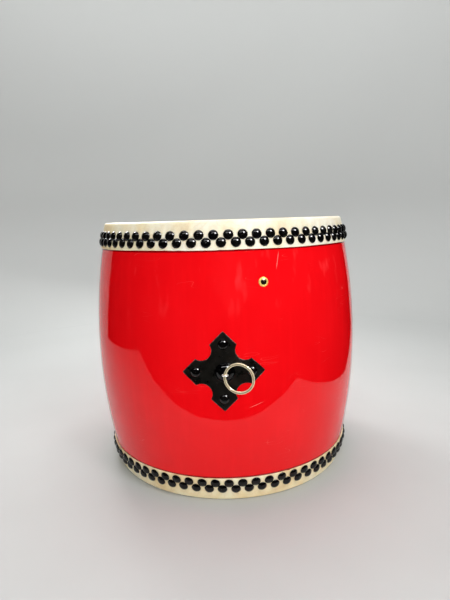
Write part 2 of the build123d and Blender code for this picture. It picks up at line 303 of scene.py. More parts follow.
class Finish:
    """A Principled material under construction. Its textures lie in the drum's own metres."""

    def __init__(self, name, **constants):
        self.material = bpy.data.materials.new(name)
        self.material.use_nodes = True
        self.tree = self.material.node_tree
        self.shader = self.tree.nodes["Principled BSDF"]
        self.place = self.tree.nodes.new("ShaderNodeTexCoord").outputs["Object"]
        for socket, value in constants.items():
            self.shader.inputs[socket.replace("_", " ").title().replace("Ior", "IOR")].default_value = value

    def node(self, kind, out, inputs=(), **settings):
        """Any node. inputs gives its sockets by name or number, as values or as other nodes' outputs."""
        made = self.tree.nodes.new("ShaderNode" + kind)
        for setting, value in settings.items():
            setattr(made, setting, value)
        for socket, value in dict(inputs).items():
            if isinstance(value, bpy.types.NodeSocket):
                self.tree.links.new(value, made.inputs[socket])
            else:
                made.inputs[socket].default_value = value
        return made.outputs[out]

    def stretched(self, x, y, z):
        """The texture space with each axis scaled."""
        return self.node("Mapping", "Vector", {"Vector": self.place, "Scale": (x, y, z)})

    def noise(self, size, detail=2.0, rough=0.5, distortion=0.0, where=None):
        """Cloudy numbers from 0 to 1, with features of about this size in metres."""
        inputs = {
            "Vector": where or self.place,
            "Scale": 1 / size,
            "Detail": detail,
            "Roughness": rough,
            "Distortion": distortion,
        }
        return self.node("TexNoise", "Fac", inputs)

    def cells(self, size):
        """Distance within Voronoi cells of about this size in metres."""
        return self.node("TexVoronoi", "Distance", {"Vector": self.place, "Scale": 1 / size})

    def ramp(self, value, *stops):
        """A colour ramp through stops (position, colour or grey)."""
        made = self.tree.nodes.new("ShaderNodeValToRGB")
        self.tree.links.new(value, made.inputs["Fac"])
        elements = made.color_ramp.elements
        while len(elements) < len(stops):
            elements.new(0.5)
        for element, (position, colour) in zip(elements, stops):
            element.position = position
            element.color = (*colour, 1) if isinstance(colour, tuple) else (colour, colour, colour, 1)
        return made.outputs["Color"]

    def scale(self, value, low, high, to_low, to_high):
        """A number mapped from one span to another, and kept within it."""
        inputs = {"Value": value, "From Min": low, "From Max": high, "To Min": to_low, "To Max": to_high}
        return self.node("MapRange", "Result", inputs)

    def maths(self, operation, a, b=0.5):
        """Two numbers put together."""
        return self.node("Math", "Value", {0: a, 1: b}, operation=operation)

    def mix(self, a, b, amount, blend="MIX"):
        """Two colours mixed."""
        made = self.tree.nodes.new("ShaderNodeMix")
        made.data_type = "RGBA"
        made.blend_type = blend
        for socket, value in ((0, amount), (6, a), (7, b)):
            if isinstance(value, bpy.types.NodeSocket):
                self.tree.links.new(value, made.inputs[socket])
            elif socket and isinstance(value, tuple):
                made.inputs[socket].default_value = (*value, 1)
            else:
                made.inputs[socket].default_value = value
        return made.outputs[2]

    def attribute(self, name):
        """A number that was marked on the piece's points."""
        return self.node("Attribute", "Fac", attribute_name=name)

    def hairlines(self, size, stretch, width=0.004):
        """Thin wandering lines, 1 on the line and 0 off it."""
        cloud = self.noise(size, detail=1, where=self.stretched(*stretch))
        return self.scale(self.maths("ABSOLUTE", self.maths("SUBTRACT", cloud, 0.5)), 0, width, 1, 0)

    def scratch(self, start, end, width):
        """A short straight mark on the front, between two points (x, z): 1 on the mark and 0 off it."""
        run = Vector((end[0] - start[0], 0, end[1] - start[1]))
        ahead, aside = run.normalized(), Vector((-run.z, 0, run.x)).normalized()
        middle = Vector((start[0], 0, start[1])) + run / 2
        mask = self.scale(self.node("SeparateXYZ", "Y", {0: self.place}), -0.02, 0, 1, 0)
        for direction, inner, outer in ((ahead, run.length / 4, run.length / 2), (aside, 0, width)):
            spot = self.node("VectorMath", "Value", {0: self.place, 1: direction}, operation="DOT_PRODUCT")
            away = self.maths("ABSOLUTE", self.maths("SUBTRACT", spot, middle.dot(direction)))
            mask = self.maths("MULTIPLY", mask, self.scale(away, inner, outer, 1, 0))
        return mask

    def set(self, socket, value):
        """Feeds one of the shader's sockets."""
        self.tree.links.new(value, self.shader.inputs[socket])

    def bump(self, *layers):
        """Bumps laid over each other, each as (height, depth in metres)."""
        normal = None
        for height, depth in layers:
            inputs = {"Height": height, "Distance": depth, "Strength": 1.0}
            if normal is not None:
                inputs["Normal"] = normal
            normal = self.node("Bump", "Normal", inputs)
        self.set("Normal", normal)


def lacquer():
    """Poured red lacquer: deep gloss, faint brushed streaks, dust nibs, rub marks, hairlines, and a painted
    shadow under the edge of each hide.
    """
    f = Finish("red_lacquer", ior=1.4)
    drift = f.noise(0.09, detail=3)
    streaks = f.noise(0.012, detail=3, where=f.stretched(1, 1, 0.06))
    red = f.mix((0.83, 0.0038, 0.0070), (0.79, 0.0030, 0.0058), f.scale(drift, 0.35, 0.7, 0, 1))
    red = f.mix(red, (0.93, 0.0065, 0.011), f.scale(streaks, 0.5, 0.8, 0, 0.35))
    sparse = f.scale(f.noise(0.03, detail=0), 0.56, 0.6, 0, 1)
    nibs = f.maths("MULTIPLY", f.scale(f.cells(0.016), 0.0, 0.035, 1, 0), sparse)
    hairs = f.maths("MULTIPLY", f.hairlines(0.06, (1, 1, 5)), f.scale(f.noise(0.05), 0.58, 0.66, 0, 1))
    red = f.mix(red, (0.95, 0.2, 0.18), f.maths("MULTIPLY", f.maths("MAXIMUM", nibs, hairs), 0.4))
    rub = f.scratch((33 * MM, 150 * MM), (54 * MM, 157.5 * MM), 0.4 * MM)
    rub = f.maths("MAXIMUM", rub, f.scratch((79 * MM, 364 * MM), (75 * MM, 339 * MM), 0.5 * MM))
    red = f.mix(red, (1.0, 0.55, 0.5), f.maths("MULTIPLY", rub, 0.5))
    # Paler vertical streaks, stronger towards the top.
    paler_upper_streaks = f.scale(f.noise(0.016, detail=2, where=f.stretched(1, 1, 0.35)), 0.60, 0.75, 0, 1)
    height = f.node("SeparateXYZ", "Z", {0: f.place})
    red = f.mix(red, (0.95, 0.045, 0.05), f.maths("MULTIPLY", paler_upper_streaks, f.scale(height, 0.25, 0.33, 0, 0.45)))
    # Painted shadow: a thin dark red line on the lacquer just beyond the cut edge of each hide.
    for cut, towards in ((HEIGHT - TOP_SKIRT, -1), (BOTTOM_SKIRT, 1)):
        shadow_line_distance = f.maths("ABSOLUTE", f.maths("SUBTRACT", height, cut + towards * 0.8 * MM))
        red = f.mix(red, (0.16, 0.001, 0.002), f.scale(shadow_line_distance, 0.9 * MM, 2.1 * MM, 0.85, 0))
    f.set("Base Color", red)
    f.set("Roughness", f.scale(f.noise(0.055, detail=5, rough=0.65), 0.5, 0.75, 0.035, 0.11))
    f.bump((f.noise(0.045, detail=1), 0.00035), (f.noise(0.0035, detail=1), 0.000012), (nibs, 0.00006))
    return f.material


def bare_wood():
    """The turned, unpainted inside of the shell."""
    f = Finish("bare_wood", ior=1.45)
    rings = f.noise(0.004, detail=4, where=f.stretched(1, 1, 0.08))
    tone = f.ramp(rings, (0.3, (0.36, 0.2, 0.09)), (0.55, (0.52, 0.33, 0.17)), (0.75, (0.62, 0.43, 0.25)))
    blotches = f.scale(f.noise(0.05), 0.4, 0.7, 0, 0.4)
    f.set("Base Color", f.mix(tone, (0.3, 0.17, 0.08), blotches))
    f.set("Roughness", f.scale(rings, 0.3, 0.7, 0.55, 0.8))
    tool_marks = f.noise(0.0025, detail=2, where=f.stretched(0.1, 0.1, 1))
    f.bump((tool_marks, 0.0002), (rings, 0.00015))
    return f.material


def rawhide():
    """Cream rawhide: milky and translucent patches, pores, fine fibres, and a darker ring round each nail."""
    f = Finish("rawhide", ior=1.45, subsurface_weight=0.12, subsurface_radius=(0.004, 0.0025, 0.0015))
    f.shader.inputs["Subsurface Scale"].default_value = 0.5
    patches = f.noise(0.055, detail=5, rough=0.55, distortion=0.6)
    pale = f.ramp(
        patches,
        (0.28, (0.74, 0.60, 0.38)),
        (0.42, (0.82, 0.75, 0.56)),
        (0.54, (0.82, 0.785, 0.665)),
        (0.72, (0.84, 0.82, 0.74)),
    )
    tan_hide = f.ramp(
        patches,
        (0.30, (0.76, 0.54, 0.27)),
        (0.44, (0.92, 0.73, 0.41)),
        (0.56, (0.96, 0.82, 0.52)),
        (0.70, (0.96, 0.88, 0.66)),
    )
    tone = f.mix(pale, tan_hide, f.attribute("warmth"))
    # Over the hollow the hide shows darker. The same darkening, started out over the rim's bend, is also
    # painted shade that tones down the brightly lit face.
    through_and_shaded = f.mix((0.62, 0.53, 0.38), (0.50, 0.38, 0.22), f.scale(patches, 0.4, 0.6, 1, 0))
    tone = f.mix(tone, f.mix(tone, through_and_shaded, 1.0, blend="MULTIPLY"), f.attribute("unbacked_and_shaded"))
    fibres = f.noise(0.0016, detail=3, where=f.stretched(1, 1, 0.35))
    tone = f.mix(tone, (0.64, 0.46, 0.24), f.scale(fibres, 0.55, 0.8, 0, 0.2))
    veins = f.hairlines(0.03, (1, 1, 1), width=0.02)
    tone = f.mix(tone, (0.72, 0.55, 0.32), f.maths("MULTIPLY", veins, 0.22))
    pores = f.scale(f.cells(0.0022), 0.05, 0.25, 1, 0)
    tone = f.mix(tone, (0.45, 0.3, 0.15), f.maths("MULTIPLY", pores, 0.25))
    # A darker ring just outside each nail head.
    tone = f.mix(tone, (0.42, 0.28, 0.15), f.maths("MULTIPLY", f.attribute("darker_ring"), 0.2))
    f.set("Base Color", tone)
    f.set("Roughness", f.scale(patches, 0.3, 0.7, 0.38, 0.58))
    f.bump((f.noise(0.012, detail=3), 0.0006), (fibres, 0.00012), (pores, 0.00005))
    return f.material


def black_enamel():
    """Glossy black enamel on pressed nail heads, dulled a little where hammer and hands touch it."""
    f = Finish("black_enamel", ior=1.42)
    dust = f.noise(0.004, detail=4, rough=0.6)
    tone = f.mix((0.0008, 0.0008, 0.001), (0.005, 0.0045, 0.004), f.scale(dust, 0.5, 0.8, 0, 1))
    tone = f.mix(tone, (0.014, 0.012, 0.011), f.maths("MULTIPLY", f.attribute("tone"), 0.2))
    chips = f.maths("MULTIPLY", f.scale(f.noise(0.0012, detail=2), 0.66, 0.7, 0, 1), f.attribute("scuff"))
    f.set("Base Color", f.mix(tone, (0.20, 0.19, 0.18), f.maths("MULTIPLY", chips, 0.7)))
    gloss = f.scale(f.noise(0.003, detail=3), 0.4, 0.75, 0.04, 0.10)
    f.set("Roughness", f.maths("ADD", gloss, f.maths("MULTIPLY", f.attribute("tone"), 0.05)))
    f.bump((f.noise(0.003, detail=1), 0.00003), (dust, 0.000006))
    return f.material


def satin_black():
    """Satin black enamel on sheet iron, rubbed to a paler metal along the cut edges, which also stands in as
    a painted highlight on them.
    """
    f = Finish("satin_black", ior=1.42)
    cloud = f.noise(0.014, detail=4, rough=0.6)
    tone = f.mix((0.0028, 0.0026, 0.002), (0.0085, 0.007, 0.005), f.scale(cloud, 0.4, 0.7, 0, 1))
    specks = f.scale(f.noise(0.0012, detail=1), 0.68, 0.74, 0, 1)
    tone = f.mix(tone, (0.07, 0.065, 0.06), f.maths("MULTIPLY", specks, 0.5))
    # Paler along the cut edges: partly wear, partly a painted highlight.
    worn_and_highlit = f.maths("MULTIPLY", f.attribute("edge"), f.scale(f.noise(0.004, detail=3), 0.4, 0.62, 0, 1))
    f.set("Base Color", f.mix(tone, (0.22, 0.20, 0.18), f.maths("MULTIPLY", worn_and_highlit, 0.7)))
    f.set("Metallic", f.maths("MULTIPLY", worn_and_highlit, 0.5))
    f.set("Roughness", f.scale(cloud, 0.35, 0.75, 0.26, 0.42))
    f.bump((f.noise(0.006, detail=2), 0.00025), (f.noise(0.0009, detail=2), 0.00003))
    return f.material


def plated(name, light, dark, smooth, rough, metallic=1.0):
    """Bright plated metal, with fine wiping scratches, a little haze, and a painted dark reflection where it
    is marked.

    Less than fully metallic keeps it bright where it mirrors the dark side of the room.
    """
    f = Finish(name, metallic=metallic)
    haze = f.noise(0.005, detail=4, rough=0.6)
    tone = f.mix(light, dark, f.scale(haze, 0.42, 0.7, 0, 1))
    # Painted dark reflection where the piece is marked.
    with_dark_line = f.mix(tone, tuple(c * 0.32 for c in dark), f.attribute("dark_reflection_line"))
    f.set("Base Color", with_dark_line)
    scratches = f.hairlines(0.004, (1, 4, 1), width=0.05)
    gloss = f.scale(haze, 0.35, 0.7, smooth, rough)
    f.set("Roughness", f.maths("ADD", gloss, f.maths("MULTIPLY", scratches, 0.08)))
    f.bump((scratches, 0.000006), (f.noise(0.003, detail=2), 0.00002))
    return f.material


# ---------------------------------------------------------------- the drum


def shell_outline():
    """The shell's closed section: up the outside, over the bearing edge, and down the cavity."""
    low = HIDE + GAP
    high = HEIGHT - low
    mouth = END_RADIUS - BEARING_WIDTH
    wall = END_RADIUS - WALL_AT_ENDS
    outside = [(float(surface_radius(z)), z, 0) for z in np.linspace(low + 0.01, high - 0.01, 97)]
    wall_low, wall_high = low + BEARING_DROP, high - BEARING_DROP
    reach = MIDDLE - wall_low
    bulge = BELLY_RADIUS - WALL_AT_BELLY - wall
    inner_arc = (reach**2 + bulge**2) / (2 * bulge)
    inside = [
        (wall + bulge - inner_arc + sqrt(inner_arc**2 - (z - MIDDLE) ** 2), z, 0)
        for z in np.linspace(wall_high, wall_low, 41)
    ]
    corners = [
        (mouth, low, 2 * MM),
        (float(surface_radius(low)), low, RIM_ROUND),
        *outside,
        (float(surface_radius(high)), high, RIM_ROUND),
        (mouth, high, 2 * MM),
        *inside,
    ]
    return rounded(corners, closed=True)


def make_shell(red, wood):
    """The barrel, with the slight unevenness of a hand-finished one, lacquered outside and bare inside."""

    def uneven(radius, height, azimuth):
        ripple = np.sin(5 * azimuth + 9 * height) + np.sin(11 * azimuth - 23 * height + 1)
        outside = radius > surface_radius(height) - 1 * MM
        return radius - np.where(outside, 0.03 * MM * (2 + ripple), 0), height

    vertices, faces = turned(shell_outline(), 320, closed=True, reshape=uneven)
    piece = new_piece("shell_lacquered", vertices, faces, red)
    piece.data.materials.append(wood)
    for face in piece.data.polygons:
        across = sqrt(face.center.x**2 + face.center.y**2)
        face.material_index = int(across < surface_radius(face.center.z) - 2 * MM)
    return fit(piece, "drum", "shell_lacquer", "shell")


def head_outline(skirt):
    """The top head's section: out under its face, down inside the skirt, and back up and over the outside."""
    edge = HEIGHT - skirt
    inner = HEIGHT - HIDE
    heights = np.linspace(edge + 1 * MM, HEIGHT - 14 * MM, 27)
    under = [(r * MM, inner, 0) for r in (40, 80, 120, 160)]
    down = [(float(surface_radius(z, GAP)), z, 0) for z in heights[::-2]]
    up = [(float(surface_radius(z, HIDE)), z, 0) for z in heights]
    face = [(r * MM, HEIGHT, 0) for r in range(185, 0, -12)]
    corners = [
        (0, inner, 0),
        *under,
        (float(surface_radius(inner, GAP)), inner, RIM_ROUND),
        *down,
        (float(surface_radius(edge, GAP)), edge, 0),
        (float(surface_radius(edge, HIDE)), edge, 0.5 * MM),
        *up,
        (float(surface_radius(HEIGHT, HIDE)), HEIGHT, RIM_ROUND + HIDE),
        *face,
        (0, HEIGHT, 0),
    ]
    return rounded(corners, steps=8)


def make_head(node, rows, hide, seed):
    """A rawhide head, drawn in at each stud, with a hand-trimmed lower edge."""
    flipped = node == "bottom_head"
    skirt = BOTTOM_SKIRT if flipped else TOP_SKIRT
    studs = [place for row in rows for place in stud_places(row)]
    if flipped:
        studs = [(azimuth, HEIGHT - height) for azimuth, height in studs]
    darker_ring_reach, held_within = 1.6 * MM, 8.5 * MM
    puff_height, sag_depth, lump_size = 0.14 * MM, 0.12 * MM, 0.055
    nick_width, trimmed_over = 2.2 * MM, 4 * MM
    knife = Random(seed)
    waves = [(k, knife.uniform(0.03, 0.12) * MM, knife.uniform(0, tau)) for k in range(2, 11)]
    nicks = [(knife.uniform(-pi, pi), knife.uniform(0.2, 0.6) * MM) for _ in range(20)]
    darker_ring = []

    def drawn(radius, height, azimuth):
        outside = (radius > surface_radius(height, HIDE / 2)) | (height > HEIGHT - HIDE / 2)
        side = outside & (height < HEIGHT - 8 * MM)
        nearest = np.full(radius.shape, 1.0)
        for stud_azimuth, stud_height in studs:
            around = (azimuth - stud_azimuth + pi) % tau - pi
            nearest = np.minimum(nearest, np.hypot(around * END_RADIUS, height - stud_height))
        # A darker ring just outside each nail head.
        darker_ring.append(np.where(side, np.exp(-(((nearest - STUD_RADIUS) / darker_ring_reach) ** 2)), 0).ravel())
        points = np.stack([radius * np.sin(azimuth), -radius * np.cos(azimuth), height], axis=-1)
        lumps = unevenness(points.reshape(-1, 3), lump_size, seed).reshape(radius.shape)
        free = 1 - np.exp(-((nearest / held_within) ** 4))
        fade = np.clip((HEIGHT - 6 * MM - height) / (10 * MM), 0, 1)
        puff = (puff_height + puff_height * lumps) * free * fade
        radius = radius + np.where(side, puff, 0)
        sag = sag_depth * (1 + lumps) * np.clip(1 - radius / (END_RADIUS - 10 * MM), 0, 1) ** 0.5
        face = outside & (height > HEIGHT - HIDE / 2)
        height = height - np.where(face, sag, 0)
        cut = sum(size * np.sin(k * azimuth + phase) for k, size, phase in waves)
        for nick_azimuth, depth in nicks:
            around = ((azimuth - nick_azimuth + pi) % tau - pi) * END_RADIUS
            cut = cut + depth * np.exp(-((around / nick_width) ** 2))
        near_edge = np.clip(1 - (height - HEIGHT + skirt) / trimmed_over, 0, 1)
        return radius, height + cut * near_edge

    vertices, faces = turned(head_outline(skirt), 792, reshape=drawn)
    if flipped:
        vertices[:, 2] = HEIGHT - vertices[:, 2]
        faces = [face[::-1] for face in faces]
    piece = new_piece(node + "_hide", vertices, faces, hide, sharp=50)
    mark(piece, "darker_ring", np.concatenate([darker_ring[0], [0, 0]]))
    left = np.clip(-vertices[:, 0] / END_RADIUS - 0.3, 0, 1)
    mark(piece, "warmth", np.full(len(vertices), 0.9) if flipped else 0.2 + 1.6 * left)
    # Darker from just outside the bearing edge inwards: partly hide over the hollow, partly painted shade on
    # the lit face and bend.
    inwards = END_RADIUS + 0.5 * MM - np.hypot(vertices[:, 0], vertices[:, 1])
    mark(piece, "unbacked_and_shaded", np.clip(inwards / (9 * MM), 0, 1))
    return fit(piece, "drum", "rawhide", node)


def nail_outline():
    """A domed nail standing on Z 0: point, shank, rolled lip and dome."""
    dome = arc_through(STUD_RISE - STUD_LIP, STUD_RADIUS, 0.93, 0, 9)
    corners = [
        (0, -STUD_SHANK, 0),
        (STUD_SHANK_RADIUS, STUD_POINT - STUD_SHANK, 0.3 * MM),
        (STUD_SHANK_RADIUS, 0, 0),
        (STUD_RADIUS, 0, 0.2 * MM),
        (STUD_RADIUS, STUD_LIP, 0.3 * MM),
        *[(r, z + STUD_LIP, 0) for r, z in dome],
    ]
    return rounded(corners, steps=2)


def make_nails(places, offset, seed, steps=26):
    """Domed nails driven in by hand, each a little off square, with its own tone and scuffs."""
    chance = Random(seed)
    vertices, faces = turned(nail_outline(), steps)
    apex = np.clip(vertices[:, 2] / STUD_RISE, 0, 1) ** 3
    parts, tones, scuffs = [], [], []
    for azimuth, height in places:
        lean = Matrix.Rotation(radians(chance.gauss(0, 1.1)), 4, "X")
        lean = lean @ Matrix.Rotation(radians(chance.gauss(0, 1.1)), 4, "Y")
        spin = Matrix.Rotation(chance.uniform(0, tau), 4, "Z")
        out = Matrix.Translation((0, 0, chance.uniform(0, 0.12) * MM))
        parts.append((moved(vertices, on_surface(azimuth, height, offset) @ out @ lean @ spin), faces))
        tones.append(np.full(len(vertices), chance.random()))
        scuffs.append(apex * chance.random() ** 2)
    return joined(parts), np.concatenate(tones), np.concatenate(scuffs)


def make_stud_row(node, enamel, seed):
    """One row of studs through a hide."""
    (vertices, faces), tones, scuffs = make_nails(stud_places(node), HIDE + GAP, seed)
    piece = new_piece(node + "_domed", vertices, faces, enamel)
    mark(piece, "tone", tones)
    mark(piece, "scuff", scuffs)
    return fit(piece, "drum", "stud_enamel", node)


# ---------------------------------------------------------------- the handles


def plate_pattern():
    """The plate's outline seen from the front: a square on its corner, with a round bite out of each side."""
    half_side = PLATE_HALF_DIAGONAL / sqrt(2)
    reach = sqrt(BITE_RADIUS**2 - (BITE_CENTRE - half_side) ** 2)
    start = atan2(-reach, half_side - BITE_CENTRE) % tau
    end = atan2(reach, half_side - BITE_CENTRE)
    line = []
    for side in range(4):
        turn = radians(45 + 90 * side)
        bite = [start + (end - start) * k / 28 for k in range(29)]
        flat = [(half_side, half_side * k / 8 + reach * (8 - k) / 8) for k in range(1, 8)]
        points = [(half_side, -y) for _, y in reversed(flat)]
        points += [(BITE_CENTRE + BITE_RADIUS * cos(a), BITE_RADIUS * sin(a)) for a in bite]
        points += flat
        line += [(x * cos(turn) - y * sin(turn), x * sin(turn) + y * cos(turn)) for x, y in points]
        corner = turn + radians(45)
        tip = PLATE_HALF_DIAGONAL - 0.5 * MM
        line.append((tip * cos(corner), tip * sin(corner)))
    return np.array(line)


def inset(line, distance):
    """A closed outline moved inwards by a small distance."""
    ahead = np.roll(line, -1, axis=0) - np.roll(line, 1, axis=0)
    ahead /= np.linalg.norm(ahead, axis=1)[:, None]
    return line + distance * np.stack([-ahead[:, 1], ahead[:, 0]], axis=-1)


def make_plate(side, turn, satin):
    """The handle plate, wrapped on the barrel, with eased edges and a hole for the bolt."""
    pattern = plate_pattern()
    angles = np.arctan2(pattern[:, 1], pattern[:, 0])
    hole = 2.3 * MM * np.stack([np.cos(angles), np.sin(angles)], axis=-1)
    hole[:, 0] += BELLY_RADIUS * sin(BOSS_AZIMUTH)
    face = inset(pattern, 0.45 * MM)
    eased = 0.12 * MM
    seat = GAP
    top = PLATE_THICKNESS + GAP
    rings = [(hole, seat, 0)]
    rings += [(hole + (face - hole) * t, seat, 0) for t in (0.25, 0.5, 0.75)]
    rings += [(pattern, seat, 0), (pattern, top - 0.40 * MM, 1)]
    rings += [(inset(pattern, eased), top - eased, 1)]
    rings += [(hole + (face - hole) * t, top, 1 if t == 1 else 0) for t in (1, 0.985, 0.9, 0.8, 0.65, 0.5)]
    rings += [(hole + (face - hole) * t, top, 0) for t in (0.35, 0.2, 0.1, 0)]
    count = len(pattern)
    vertices = np.concatenate([bent_to_barrel(line[:, 0], line[:, 1], offset) for line, offset, _ in rings])
    faces = []
    for i in range(len(rings)):
        for j in range(count):
            k, n = (j + 1) % count, (i + 1) % len(rings)
            faces.append([i * count + j, i * count + k, n * count + k, n * count + j])
    vertices = moved(vertices, turn)
    piece = new_piece(side + "_plate_enamelled", vertices, faces, satin, sharp=30)
    # Marks the cut edges, which the finish paints paler as wear and as a painted highlight.
    mark(piece, "edge", np.concatenate([np.full(count, edge) for _, _, edge in rings]))
    return fit(piece, "drum", "plate_enamel", side + "_plate")


def make_plate_nails(side, turn, enamel, seed):
    """The plate's four nails."""
    across = NAIL_OFFSET / BELLY_RADIUS
    places = [(0, MIDDLE + NAIL_OFFSET), (across, MIDDLE), (0, MIDDLE - NAIL_OFFSET), (-across, MIDDLE)]
    (vertices, faces), tones, scuffs = make_nails(places, PLATE_THICKNESS + 2 * GAP, seed, steps=40)
    piece = new_piece(side + "_plate_nails_domed", moved(vertices, turn), faces, enamel)
    mark(piece, "tone", tones)
    mark(piece, "scuff", scuffs)
    return fit(piece, "drum", "stud_enamel", side + "_plate_nails")


def make_boss(side, turn, enamel):
    """The pressed boss: a thin flange on the plate, a groove, and a dome with a dimple at the bolt."""
    bore = BOLT_RADIUS + 0.1 * MM
    dome = arc_through(BOSS_RISE - BOSS_FLANGE, BOSS_DOME_RADIUS, 1, 0.24, 18)
    corners = [
        (bore, 0, 0),
        (BOSS_RADIUS, 0, 0.2 * MM),
        (BOSS_RADIUS, BOSS_FLANGE * 0.8, 0.5 * MM),
        (BOSS_DOME_RADIUS + 0.5 * MM, BOSS_FLANGE, 0.4 * MM),
        (BOSS_DOME_RADIUS + 0.1 * MM, BOSS_FLANGE - 0.5 * MM, 0.2 * MM),
        *[(r, z + BOSS_FLANGE, 0) for r, z in dome],
        (bore, BOSS_RISE - 0.9 * MM, 0),
    ]
    vertices, faces = turned(rounded(corners, closed=True), 72, closed=True)
    underside = vertices[:, 2] < 0.05 * MM
    seat = PLATE_THICKNESS + 2 * GAP
    vertices = moved(vertices, on_surface(0, MIDDLE, seat))
    vertices[underside] = bent_to_barrel(vertices[underside, 0], vertices[underside, 2] - MIDDLE, seat)
    piece = new_piece(side + "_boss_turned", moved(vertices, turn @ OFF_CENTRE), faces, enamel)
    mark(piece, "tone", np.zeros(len(vertices)))
    mark(piece, "scuff", np.zeros(len(vertices)))
    return fit(piece, "drum", "stud_enamel", side + "_boss")


def eye_path():
    """The bolt's centre line, from its inner end, and its wire's radius at each point.

    It runs straight out, swings aside, and goes round the eye until it comes back beside the shank.
    """
    swing = 2 * MM
    reach = sqrt(EYE_RING_RADIUS**2 + 2 * EYE_RING_RADIUS * swing)
    meet = atan2(reach, swing)
    finish = radians(131) - tau
    eye_y = EYE_POINT.y
    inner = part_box("front_eye_bolt")[1].y
    path = [(0, y) for y in np.linspace(inner, eye_y + reach + 1 * MM, 12)]
    radii = [BOLT_RADIUS - 0.3 * MM] + [BOLT_RADIUS] * 10 + [EYE_WIRE_RADIUS + 0.3 * MM]
    for a in np.linspace(0, meet, 9):
        path.append((swing - swing * cos(a), eye_y + reach - swing * sin(a)))
        radii.append(EYE_WIRE_RADIUS)
    for a in np.linspace(meet, finish, 60)[1:]:
        path.append((EYE_RING_RADIUS * cos(a), eye_y + EYE_RING_RADIUS * sin(a)))
        radii.append(EYE_WIRE_RADIUS)
    return [(x, y, MIDDLE) for x, y in path], radii


def make_eye_bolt(side, turn, nickel):
    """The eye bolt, bent from one wire."""
    vertices, faces = round_wire(*eye_path(), around=28)
    piece = new_piece(side + "_eye_bolt_bent", moved(vertices, turn @ OFF_CENTRE), faces, nickel)
    return fit(piece, "drum", "bright_steel", side + "_eye_bolt")


def flattened(width, thickness, fullness=2.2, steps=28):
    """The section of a flattened wire: an oval that is a little full at its corners."""
    angles = [-tau * k / steps for k in range(steps)]
    power = 2 / fullness
    return [
        (
            copysign(abs(cos(a)) ** power, cos(a)) * width / 2,
            copysign(abs(sin(a)) ** power, sin(a)) * thickness / 2,
        )
        for a in angles
    ]


def make_ring(side, turn, champagne):
    """The split ring: two coils of flattened wire, one step up between them, and two cut ends."""
    level = COIL_THICKNESS / 2 + GAP / 2
    section = flattened(RING_WIDTH, COIL_THICKNESS)
    steps = 300
    first, last = 13, 707  # degrees round the ring, over nearly two turns
    step_from, step_over = 350, 20
    path, sections = [], []
    for k in range(steps + 1):
        angle = first + (last - first) * k / steps
        climb = min(max((angle - step_from) / step_over, 0), 1)
        height = level * (2 * climb * climb * (3 - 2 * climb) - 1)
        end = min(k, steps - k)
        size = 1 if end > 1 else (0.96 if end else 0.82)
        out = Vector((cos(radians(angle)), sin(radians(angle)), 0))
        path.append(out * RING_RADIUS + Vector((0, 0, height)))
        sections.append(
            [out * (RING_RADIUS + x * size) + Vector((0, 0, height + y * size)) for x, y in section]
        )
    vertices, faces = swept(path, sections)
    beside = Matrix.Translation((RING_RADIUS, 0, 0))
    hang = Matrix.Rotation(-RING_SWING, 4, "Z") @ Matrix.Rotation(RING_DROOP, 4, "Y")
    place = Matrix.Translation(EYE_POINT) @ hang @ Matrix.Rotation(pi / 2, 4, "X") @ beside
    piece = new_piece(side + "_ring_coiled", moved(vertices, turn @ OFF_CENTRE @ place), faces, champagne)
    # A painted dark reflection along the middle of each coil's flat face, and on the cut ends.
    dark_reflection_line = [max(0, 1 - abs(x) / (0.36 * RING_WIDTH)) for x, _ in section]
    mark(piece, "dark_reflection_line", dark_reflection_line * (steps + 1) + [1, 1])
    return fit(piece, side + "_ring", "ring_steel", side + "_ring")


# ---------------------------------------------------------------- the side screw


def make_cup_washer(brass):
    """The pressed brass cup washer."""
    bore = 2.3 * MM
    lip = SCREW_HEAD_RADIUS + 0.3 * MM
    corners = [
        (bore, 0, 0),
        (CUP_RADIUS, 0, 0.15 * MM),
        (CUP_RADIUS - 0.15 * MM, 0.9 * MM, 0.6 * MM),
        (CUP_RADIUS - 1.4 * MM, CUP_RISE, 0.5 * MM),
        (lip, CUP_RISE, 0.15 * MM),
        (bore, 0.35 * MM, 0),
    ]
    vertices, faces = turned(rounded(corners, closed=True, steps=6), 72, closed=True)
    place = on_surface(SCREW_AZIMUTH, SCREW_HEIGHT, GAP)
    piece = new_piece("side_cup_washer_pressed", moved(vertices, place), faces, brass)
    return fit(piece, "drum", "brass", "side_cup_washer")


